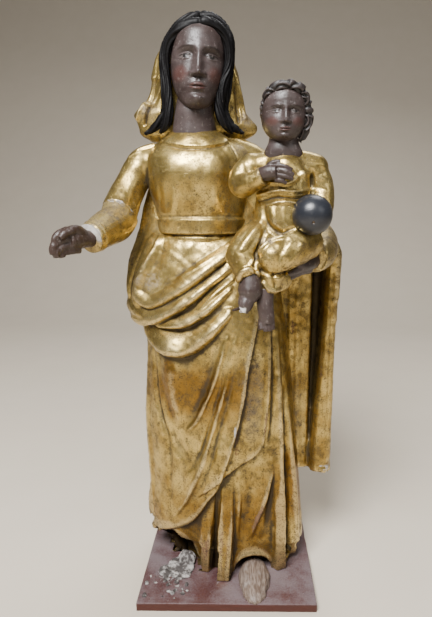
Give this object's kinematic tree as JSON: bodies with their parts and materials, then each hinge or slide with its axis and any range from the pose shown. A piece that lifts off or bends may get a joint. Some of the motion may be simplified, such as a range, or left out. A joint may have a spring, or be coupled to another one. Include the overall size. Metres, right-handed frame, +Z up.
{
  "type": "wooden saint statue",
  "caption": "Carved and gilded wooden statue of a standing mother with a seated child on the left arm and the right arm held out, on a thin red-brown board.",
  "frame": {"origin": "centre of the board's underside", "axes": "+Z up, the figure faces -Y, the child is on the +X side"},
  "size_m": [0.1936, 0.1322, 0.414],
  "materials": {
    "gilding": "aged leaf gilding on gesso over carved wood, rubbed to red-brown and grey in places",
    "worn_wood": "dark, worn flesh paint on carved wood with a broken white gesso ring at the wrist",
    "dark_paint": "satin blue-black paint on turned wood",
    "red_paint": "dull red-brown paint on a board, greyed where worn"
  },
  "bodies": {
    "root": {"base_board": "red_paint", "figure": "gilding", "right_forearm": "gilding", "right_hand": "worn_wood", "child": "gilding", "orb": "dark_paint"}
  },
  "joints": []
}
